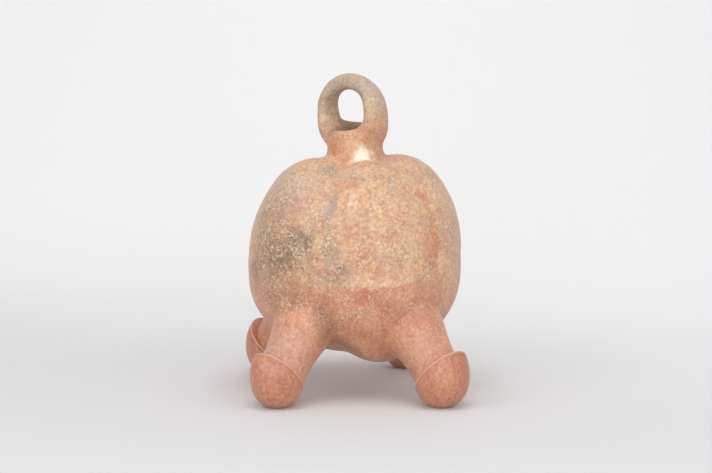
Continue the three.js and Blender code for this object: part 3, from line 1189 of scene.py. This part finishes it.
def patch_mask(add: Adder, place: Socket, patch: Patch) -> Socket:
    """Returns how much of a patch there is at a place."""
    turn, lean = (math.radians(angle) for angle in patch.turn)
    stand = {"Location": patch.centre, "Rotation": (0.0, lean, turn), "Scale": patch.size}
    local = add("ShaderNodeMapping", {"Vector": place, **stand}, vector_type="TEXTURE")
    distance = add("ShaderNodeVectorMath", (local,), "Value", operation="LENGTH")
    fading = (distance, 1.0 - patch.softness, 1.0 + FADE * patch.softness, 1.0, 0.0)
    return add("ShaderNodeMapRange", fading, interpolation_type="SMOOTHSTEP")


def line_mask(
    add: Adder, value: Socket, middle: float, core: float, edge: float, strength: float
) -> Socket:
    """Draws a line where a value is near a level.

    Args:
        add: Adds a node.
        value: The value.
        middle: The level.
        core: How far from it the line is at its full strength.
        edge: How far from it the line ends.
        strength: Its full strength.

    Returns:
        How strong the line is.
    """
    off = add("ShaderNodeMath", (value, middle), operation="SUBTRACT")
    size = add("ShaderNodeMath", (off,), operation="ABSOLUTE")
    return add("ShaderNodeMapRange", (size, core, edge, strength, 0.0))


@dataclass(frozen=True)
class Clay:
    """Unglazed earthenware under a burnished red slip, with the crust of long burial.

    The slip was rubbed with a smooth stone while it was leather-hard, which gives the eye a low
    satin sheen with faint streaks. The lime that settled on it later is dull, pale and mottled,
    and roots have etched fine worm-like marks into it.

    Attributes:
        name: The finish's name.
        slot: The frame's slot that it dresses.
        deep: The slip's darker tone.
        pale: The slip's lighter tone.
        lime: The crust's colour.
        ash: The colour of the crust's greyer parts.
        crust: How much crust there is at most.
        levels: Between which heights in millimetres the finish is seen.
        tide: Between which heights in millimetres the crust begins, away from its sharp edge.
        marks: How many root marks there are everywhere.
        dots: How many pale grains of lime there are everywhere.
        sheen: The roughness of the bare slip.
        patches: The clouds, painted in order.
        lip: Whether the piece carries the pale line along a foot's lip.
        washed: Between which heights in millimetres the marks and grains get more, above the
            legs that wear and washing have kept cleaner, and what share of them is below.
    """

    name: str
    slot: Slot
    deep: str
    pale: str
    lime: str
    ash: str
    crust: float
    levels: tuple[float, float]
    tide: tuple[float, float]
    marks: float
    dots: float
    sheen: float
    patches: tuple[Patch, ...] = ()
    lip: bool = False
    washed: tuple[float, float, float] = (52.0, 82.0, 0.25)

    def build(self) -> bpy.types.Material:
        """Makes the finish and returns it."""
        material, add = new_material(self.name)
        where = add("ShaderNodeTexCoord", out="Object")
        place = add("ShaderNodeVectorMath", (where, (1 / MM,) * 3), operation="MULTIPLY")
        ragged = place
        for size, reach in WARPS:
            ragged = warp(add, ragged, size, reach)
        noises = {}
        names = ("Vector", "Scale", "Detail", "Roughness", "Distortion")
        for name, (size, *settings) in NOISES.items():
            inputs = dict(zip(names, (place, 1 / size, *settings)))
            noises[name] = add("ShaderNodeTexNoise", inputs)
        crust = self.crust_mask(add, place, ragged, noises["crust"])
        colour = self.lay_crust(add, noises["ash"], self.slip(add, place, noises["slip"]), crust)
        level = add("ShaderNodeSeparateXYZ", (ragged,), 2)
        high_up = add("ShaderNodeMapRange", (level, *self.washed))
        marks = add("ShaderNodeMath", (high_up, self.marks), operation="MULTIPLY")
        for patch in filter(self.shows, self.patches):
            mask = patch_mask(add, ragged, patch)
            shown = add("ShaderNodeMath", (mask, patch.strength), operation="MULTIPLY")
            colour = cover(add, colour, linear(patch.colour), shown)
            if patch.marks:
                more = (mask, patch.marks, marks)
                marks = add("ShaderNodeMath", more, operation="MULTIPLY_ADD")
        pits, etched = self.mark_masks(add, noises, marks)
        dots = self.dot_mask(add, noises, high_up)
        for shade, mask in ((PIT_DIRT, pits), (MARK_LIME, etched), (MARK_LIME, dots)):
            colour = cover(add, colour, linear(shade), mask)
        # The fine grain of the clay, about 1 mm across
        grain = add("ShaderNodeMapRange", (noises["grain"], 0.36, 0.64, 0.725, 1.085))
        colour = add("ShaderNodeVectorMath", (colour, grain), operation="MULTIPLY")
        if self.lip:
            colour = self.lip_line(add, colour)

        raised = (etched, 0.5, noises["relief"])
        height = add("ShaderNodeMath", raised, operation="MULTIPLY_ADD")
        # The crust and its marks stand about 0.15 mm above the slip.
        bump = add(
            "ShaderNodeBump", {"Strength": 0.55, "Distance": 0.35 * MM, "Height": height}, "Normal"
        )
        rough = add("ShaderNodeMapRange", (crust, 0.0, 1.0, self.sheen, 0.8))
        shader = add(
            "ShaderNodeBsdfPrincipled",
            {
                "Base Color": colour,
                "Roughness": rough,
                "Normal": bump,
                "IOR": 1.48,
                "Specular IOR Level": 0.42,
                "Sheen Weight": 0.22,
                "Sheen Roughness": 0.4,
                "Sheen Tint": linear("#d9d4d0"),
            },
        )
        add("ShaderNodeOutputMaterial", {"Surface": shader}, None)
        return material

    def shows(self, patch: Patch) -> bool:
        """Says whether a patch reaches the heights where the finish is seen."""
        reach = patch.size[2] * (1.0 + FADE) + sum(reach for _, reach in WARPS)
        low, high = self.levels
        return low < patch.centre[2] + reach and patch.centre[2] - reach < high

    def slip(self, add: Adder, place: Socket, cloud: Socket) -> Socket:
        """Returns the slip's colour, cloudy, with faint upright streaks of the burnishing."""
        drawn = (place, (1.0, 1.0, 0.12))
        stretched = add("ShaderNodeVectorMath", drawn, operation="MULTIPLY")
        streak = add("ShaderNodeTexNoise", {"Vector": stretched, "Scale": 1 / 3.5, "Detail": 1.0})
        both = add("ShaderNodeMath", (streak, 0.35, cloud), operation="MULTIPLY_ADD")
        share = add("ShaderNodeMapRange", (both, 0.5, 0.86))
        return cover(add, linear(self.deep), linear(self.pale), share)

    def crust_mask(self, add: Adder, place: Socket, ragged: Socket, cloud: Socket) -> Socket:
        """Returns how thick the crust is: cloudy, and thin below its tide line."""
        level = add("ShaderNodeSeparateXYZ", (ragged,), 2)
        rise = add("ShaderNodeMapRange", (level, *self.tide), interpolation_type="SMOOTHSTEP")
        share, crest = self.sharp_edge(add, place, rise)
        span = (cloud, 0.36, 0.62, 0.32, 1.0)
        broken = add("ShaderNodeMapRange", span, interpolation_type="SMOOTHSTEP")
        least = add("ShaderNodeMapRange", (share, 0.0, 1.0, 0.1 * self.crust, self.crust))
        return add("ShaderNodeMath", (least, broken, crest), operation="MULTIPLY_ADD")

    def sharp_edge(self, add: Adder, place: Socket, rise: Socket) -> tuple[Socket, Socket]:
        """Gives the crust a sharp lower edge on the front lobe, which climbs to the right.

        Returns:
            The share of crust, and how much thicker it is in the band along its edge.
        """
        depth = add("ShaderNodeSeparateXYZ", (place,), 1)
        level = add("ShaderNodeSeparateXYZ", (place,), 2)
        back = add("ShaderNodeMath", (depth, -EDGE_DEPTH), operation="ADD")
        beyond = add("ShaderNodeMath", (back, 0.0), operation="MAXIMUM")
        square = add("ShaderNodeMath", (beyond, 2.0), operation="POWER")
        lifted = add("ShaderNodeMath", (square, -EDGE_CLIMB, level), operation="MULTIPLY_ADD")
        edge = add("ShaderNodeMapRange", (lifted, *EDGE))
        lobe = patch_mask(add, place, FRONT_LOBE)
        share = add("ShaderNodeMix", {"Factor": lobe, 2: rise, 3: edge}, data_type="FLOAT")
        height = add("ShaderNodeSeparateXYZ", (warp(add, place, 5.0, 2.0),), 2)
        fading = add("ShaderNodeMapRange", (height, *BAND, 0.0))
        band = add("ShaderNodeMath", (edge, fading), operation="MULTIPLY")
        return share, add("ShaderNodeMath", (band, lobe), operation="MULTIPLY")

    def lay_crust(self, add: Adder, tone: Socket, colour: Socket, crust: Socket) -> Socket:
        """Lays the crust over the slip, lime-coloured in some places and ashen in others."""
        share = add("ShaderNodeMapRange", (tone, 0.4, 0.6))
        return cover(add, colour, cover(add, linear(self.ash), linear(self.lime), share), crust)

    def mark_masks(self, add: Adder, noises: Noises, amount: Socket) -> tuple[Socket, Socket]:
        """Returns the dark pits beside the worm-like marks of roots, and the marks, in drifts."""
        shown = add("ShaderNodeMapRange", (noises["mark_drifts"], 0.38, 0.54))
        here = add("ShaderNodeMath", (shown, amount), operation="MULTIPLY", use_clamp=True)
        pits = line_mask(add, noises["marks"], *PIT_LINE)
        etched = line_mask(add, noises["marks"], *MARK_LINE)
        return (
            add("ShaderNodeMath", (pits, here), operation="MULTIPLY"),
            add("ShaderNodeMath", (etched, here), operation="MULTIPLY"),
        )

    def dot_mask(self, add: Adder, noises: Noises, high_up: Socket) -> Socket:
        """Returns the pale grains of lime that lie on the slip, fewer of them low down."""
        grains = add("ShaderNodeMapRange", (noises["dots"], 0.55, 0.66))
        shown = add("ShaderNodeMapRange", (noises["dot_drifts"], 0.42, 0.58, 0.08, self.dots))
        here = add("ShaderNodeMath", (grains, shown), operation="MULTIPLY")
        return add("ShaderNodeMath", (here, high_up), operation="MULTIPLY")

    def lip_line(self, add: Adder, colour: Socket) -> Socket:
        """Lays the pale worn line along a foot's lip, with the dirt under it."""
        lip = {"attribute_name": LIP_LEVEL, "attribute_type": "GEOMETRY"}
        level = add("ShaderNodeAttribute", out="Fac", **lip)
        for shade, *line in LIP_LINES:
            colour = cover(add, colour, linear(shade), line_mask(add, level, *line))
        return colour


# The dirt under a foot's lip and its worn edge: the colour, the height over the lip, how far from
# it the line is full and where it ends, and its strength
LIP_LINES = (("#a0735f", -1.1, 0.24, 0.8, 0.4), ("#d9b49c", 0.6, 0.255, 0.85, 0.7))
MARK_LIME = "#e9ceac"
PIT_DIRT = "#7d5f4b"

# Where the crust has its sharp edge
FRONT_LOBE = Patch((76, -50, 108), (44, 44, 42), MARK_LIME, softness=0.35)
ZONES = (
    # The neck's orange clay and the loop's grey crust
    Patch((0, 0, 225), (46, 46, 23), "#cf9775", 0.85, 0.8),
    Patch((0, 0, 270), (90, 90, 36), "#b9a491", 0.9, 0.65, marks=0.2),
    # The shoulder and the left lobe, under smoke
    Patch((-18, -72, 186), (44, 34, 20), "#bfa493", 0.75, marks=0.2),
    Patch((-22, -88, 158), (34, 30, 28), "#9e8570", 0.65, marks=0.6),
    Patch((-6, -92, 126), (40, 34, 25), "#80634f", 0.85, 0.85, marks=0.8),
    Patch((14, -88, 143), (15, 20, 13), "#77695f", 0.7, marks=0.5),
    Patch((-40, -86, 112), (13, 20, 13), "#6e5f50", 0.7, marks=0.4),
    Patch((-5, -88, 90), (44, 22, 15), "#a5745c", 0.6, marks=0.35),
    # The groove
    Patch((13, -48, 199), (15, 14, 9), "#9b8d85", 0.7),
    Patch((34, -70, 170), (8, 16, 26), "#a49084", 0.7, marks=0.3),
    Patch((39, -77, 138), (8, 16, 26), "#a39080", 0.62, marks=0.6),
    Patch((46, -72, 116), (13, 14, 11), "#94786a", 0.55, marks=0.8),
    # The front lobe
    Patch((46.7, -62.5, 177.6), (1.5, 8, 8.5), "#7f655b", 0.7, 0.6, (41.5, 28)),
    Patch((53, -60, 178), (6, 8, 6), "#f0d6bf", 0.7),
    Patch((64, -66, 127), (16, 16, 12), "#d08460", 0.5, marks=0.4),
    Patch((80, -4, 178), (12, 12, 7), "#c97a5a", 0.6),
    Patch((78, -30, 170), (20, 20, 20), "#dcaa7f", 0.5),
    Patch((86, -30, 138), (16, 15, 15), "#e2bb92", 0.45, marks=0.6),
    Patch((60, -66, 98), (28, 22, 9), "#c97c5b", 0.45, marks=0.6),
    Patch((56, -62, 78), (34, 26, 14), "#d39673", 0.45, marks=0.5),
    Patch((90, 0, 142), (22, 7, 46), "#c9785a", 0.65, 0.8),
    Patch((82, 38, 136), (42, 30, 60), "#cba088", 0.55),
    Patch((74, 42, 178), (30, 34, 20), "#cdb2a0", 0.55),
    Patch((94, -14, 86), (28, 34, 20), "#ba806a", 0.55),
    # The pink bloom of the legs
    Patch((10, -100, 48), (30, 30, 26), "#cc9f90", 0.65),
    Patch((98, -16, 46), (26, 26, 22), "#c69885", 0.6),
    # The sides that the photograph doesn't show, in the same manner
    Patch((40, 78, 140), (34, 26, 30), "#8b7059", 0.6, marks=0.8),
    Patch((-78, 44, 120), (26, 30, 24), "#cb8060", 0.5, marks=0.3),
    Patch((-84, -20, 150), (26, 30, 32), "#b1937b", 0.6, marks=0.6),
    Patch((-30, 84, 110), (36, 26, 18), "#dcb793", 0.5, marks=0.5),
    Patch((-40, 70, 170), (34, 34, 22), "#c9ab98", 0.55),
    # The folds beside the front leg, and under the body
    Patch((27, -68, 72), (9, 18, 20), "#957060", 0.6, marks=0.25),
    Patch((30, -45, 48), (16, 18, 12), "#957466", 0.55),
    Patch((0, 0, 34), (60, 60, 14), "#b08670", 0.5),
    # The neck
    Patch((3, -25, 217), (16, 12, 12), "#c97e5f", 0.75),
    Patch((30, -4, 231), (14, 18, 9), "#bd8862", 0.6),
    Patch((14, -20, 221), (16, 12, 9), "#e6bf92", 0.6, 0.8),
    Patch((22, -15, 213.5), (11, 11, 8), "#fff0dc", 1, 0.8),
    Patch((4, -25, 238), (20, 10, 3.5), "#d9bda2", 0.6, 0.8),
    Patch((-26, -6, 232), (12, 18, 9), "#a98a75", 0.55),
    Patch((0, 6, 238), (19.5, 20, 26), "#926b55", 0.65, 0.3),
    # The loop
    Patch((-34, -4, 258), (14, 24, 24), "#a98c78", 0.4, marks=0.4),
    Patch((-31, -11, 248), (6, 8, 9), "#e2c39f", 0.75),
    Patch((35, 3, 245), (12, 24, 18), "#cc9a72", 0.5, 0.9),
    Patch((26, -10, 254), (9, 9, 12), "#d0b792", 0.5),
    Patch((-3, 9, 252), (23.5, 60, 21.5), "#917159", 0.7, 0.26),
)

BARE_SKIN = Clay(
    name="burnished_red_slip_under_lime_crust",
    slot=Slot.BODY,
    deep="#c07455",
    pale="#dc9e7f",
    lime="#e3be93",
    ash="#c6aa93",
    crust=0.85,
    levels=(30.0, 216.0),
    tide=(86.0, 114.0),
    marks=0.3,
    dots=0.65,
    sheen=0.4,
    patches=ZONES,
)
CLEAN_SKIN = replace(BARE_SKIN, marks=0.1, dots=0.3)
CLAYS = (
    BARE_SKIN,
    replace(
        CLEAN_SKIN, name="smoothed_orange_earthenware", slot=Slot.NECK, levels=(210.0, 248.0)
    ),
    replace(
        CLEAN_SKIN,
        name="buff_earthenware_under_grey_crust",
        slot=Slot.LOOP,
        levels=(240.0, 290.0),
    ),
    replace(BARE_SKIN, name="burnished_red_slip", slot=Slot.LEG, levels=(10.0, 66.0), lip=True),
    replace(
        BARE_SKIN,
        name="worn_burnished_red_slip",
        slot=Slot.FOOT,
        deep="#b86f57",
        pale="#cb8a70",
        levels=(0.0, 50.0),
        lip=True,
        patches=(
            Patch((0, 0, 0), (400, 400, 8), "#b08a62", 0.5, 0.9),
            Patch((118, -24, 26), (14, 14, 14), "#d69c72", 0.5),
            Patch((12, -122, 38), (12, 10, 8), "#c99486", 0.5),
        ),
    ),
)


@dataclass(frozen=True)
class Softbox:
    """A soft lamp.

    Attributes:
        name: Its name.
        azimuth: Where it stands, in degrees to the right of the camera.
        elevation: How high it is seen from the vessel, in degrees.
        distance: How far it is from the vessel, in metres.
        size: Its width and height in metres.
        power: Its power in watts.
        colour: Its sRGB hex colour.
    """

    name: str
    azimuth: float
    elevation: float
    distance: float
    size: tuple[float, float]
    power: float
    colour: str = "#ffffff"


@dataclass
class Studio:
    """The pale floor, the soft lights and the camera."""

    azimuth: float = 41.5
    distance: float = 1.3493
    height: float = 0.289
    pitch: float = 6.378
    shift_right: float = 0.0008
    focal_pixels: float = 1502.7
    frame_width: int = 712
    sensor: float = 36.0
    width: float = 6.0
    front: float = 2.6
    back: float = 0.5
    curve: float = 0.9
    curve_steps: int = 16
    wall: float = 2.0
    # Over which distances behind the vessel the paper gets whiter, and how far that is turned
    fade: tuple[float, float] = (-0.2, 0.75)
    fade_turn: float = -17.0
    table_colour: str = "#dad9da"
    wall_colour: str = "#fcfbfb"
    room_colour: str = "#fbfdff"
    room_strength: float = 0.56
    # How high the lamps aim
    aim: float = 0.14
    boxes: tuple[Softbox, ...] = (
        Softbox("left_softbox", -50.0, 30.0, 1.6, (1.0, 1.0), 4.8),
        Softbox("right_softbox", 50.0, 30.0, 1.6, (1.0, 1.0), 4.0),
        Softbox("overhead_softbox", 0.0, 74.0, 1.5, (0.8, 0.8), 5.5),
        Softbox("front_softbox", 0.0, 14.0, 1.9, (1.6, 0.9), 13.5),
    )

    def build(self) -> None:
        """Builds the floor, the lights and the camera."""
        self.add_camera()
        self.add_floor()
        self.add_lights()

    def add_camera(self) -> None:
        """Adds the camera at the photograph's viewing angle."""
        turn = math.radians(self.azimuth)
        toward = Vector((math.sin(turn), -math.cos(turn), 0.0))
        right = Vector((math.cos(turn), math.sin(turn), 0.0))
        place = toward * self.distance + right * self.shift_right + Vector((0, 0, self.height))
        aim = (math.radians(90.0 - self.pitch), 0.0, turn)
        camera = begin("camera", bpy.ops.object.camera_add, location=place, rotation=aim)
        camera.data.sensor_fit = "HORIZONTAL"
        camera.data.sensor_width = self.sensor
        camera.data.lens = self.sensor * self.focal_pixels / self.frame_width
        bpy.context.scene.camera = camera

    def add_floor(self) -> None:
        """Adds a sheet of white paper that lies on the table and curves up behind the vessel."""
        paper = begin("paper", bpy.ops.mesh.primitive_plane_add, size=1.0)
        depth = self.front + self.back
        paper.scale = (self.width, depth, 1.0)
        paper.location = (0.0, (self.back - self.front) / 2.0, 0.0)
        settle(paper)
        with editing(paper):
            pick(paper, Part.EDGES, lambda p: p[:, 1] > self.back / MM - AT_CUT)
            last = Vector((0.0, 0.0, 0.0))
            for step in range(1, self.curve_steps + 1):
                angle = math.pi / 2.0 * step / self.curve_steps
                here = Vector((0.0, math.sin(angle), 1.0 - math.cos(angle))) * self.curve
                extrude(here - last)
                last = here
            extrude(UP * self.wall)
        paper.rotation_euler.z = math.radians(self.azimuth)
        settle(paper)
        bpy.ops.object.shade_smooth()
        paper.data.materials.append(self.paper_material())

    def paper_material(self) -> bpy.types.Material:
        """Makes matt white background paper, which is greyer in front than at the back."""
        material, add = new_material("matt_white_background_paper")
        turn = math.radians(self.azimuth + self.fade_turn)
        toward = (-math.sin(turn), math.cos(turn), 0.0)
        place = add("ShaderNodeTexCoord", out="Object")
        back = add("ShaderNodeVectorMath", (place, toward), "Value", operation="DOT_PRODUCT")
        rise = add("ShaderNodeMapRange", (back, *self.fade), interpolation_type="SMOOTHSTEP")
        tones = {6: linear(self.table_colour), 7: linear(self.wall_colour)}
        colour = add("ShaderNodeMix", {"Factor": rise, **tones}, 2, data_type="RGBA")
        shader = add("ShaderNodeBsdfPrincipled", {"Base Color": colour, "Roughness": 0.9})
        add("ShaderNodeOutputMaterial", {"Surface": shader}, None)
        return material

    def add_lights(self) -> None:
        """Adds the room's even light and the softboxes."""
        world = bpy.data.worlds.new("studio")
        world.use_nodes = True
        background = world.node_tree.nodes["Background"]
        background.inputs["Color"].default_value = linear(self.room_colour)
        background.inputs["Strength"].default_value = self.room_strength
        bpy.context.scene.world = world
        bpy.context.scene.view_settings.view_transform = "Standard"
        for box in self.boxes:
            turn = math.radians(self.azimuth + box.azimuth)
            rise = math.radians(box.elevation)
            toward = Vector(
                (math.sin(turn) * math.cos(rise), -math.cos(turn) * math.cos(rise), math.sin(rise))
            )
            place = UP * self.aim + toward * box.distance
            lamp = begin(box.name, bpy.ops.object.light_add, type="AREA", location=place)
            lamp.rotation_euler = toward.to_track_quat("Z", "Y").to_euler()
            lamp.data.shape = "RECTANGLE"
            lamp.data.size, lamp.data.size_y = box.size
            lamp.data.energy = box.power
            lamp.data.color = linear(box.colour)[:3]


def dress(pieces: dict[str, Piece], legs: Sequence[Leg]) -> None:
    """Gives every piece its finish.

    Args:
        pieces: The pieces by the names of their nodes.
        legs: The four legs.
    """
    finishes = {clay.slot: clay.build() for clay in CLAYS}
    for node, piece in pieces.items():
        slot = Slot[node.split("_")[0].upper()]
        if slot in (Slot.LEG, Slot.FOOT):
            next(leg for leg in legs if node.endswith(leg.name)).measure_lip(piece)
        piece.data.materials.clear()
        piece.data.materials.append(finishes[slot])


def main() -> None:
    """Builds the vessel's pieces in order, then the studio."""
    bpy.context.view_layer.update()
    skin = Skin()
    joined = skin.join()
    pieces = skin.cut(joined)
    skin.close(pieces)
    for leg in skin.legs:
        foot = leg.build_foot()
        only(foot)
        bpy.ops.object.shade_smooth_by_angle(angle=CRISP)
        pieces[f"foot_cap_{leg.name}"] = foot
    dress(pieces, skin.legs)
    for node, piece in pieces.items():
        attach(piece, BODY)
        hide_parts(node)
        log.info("%s stands for %s: %d faces", piece.name, node, len(piece.data.polygons))
    Studio().build()


if __name__ == "__main__":
    main()
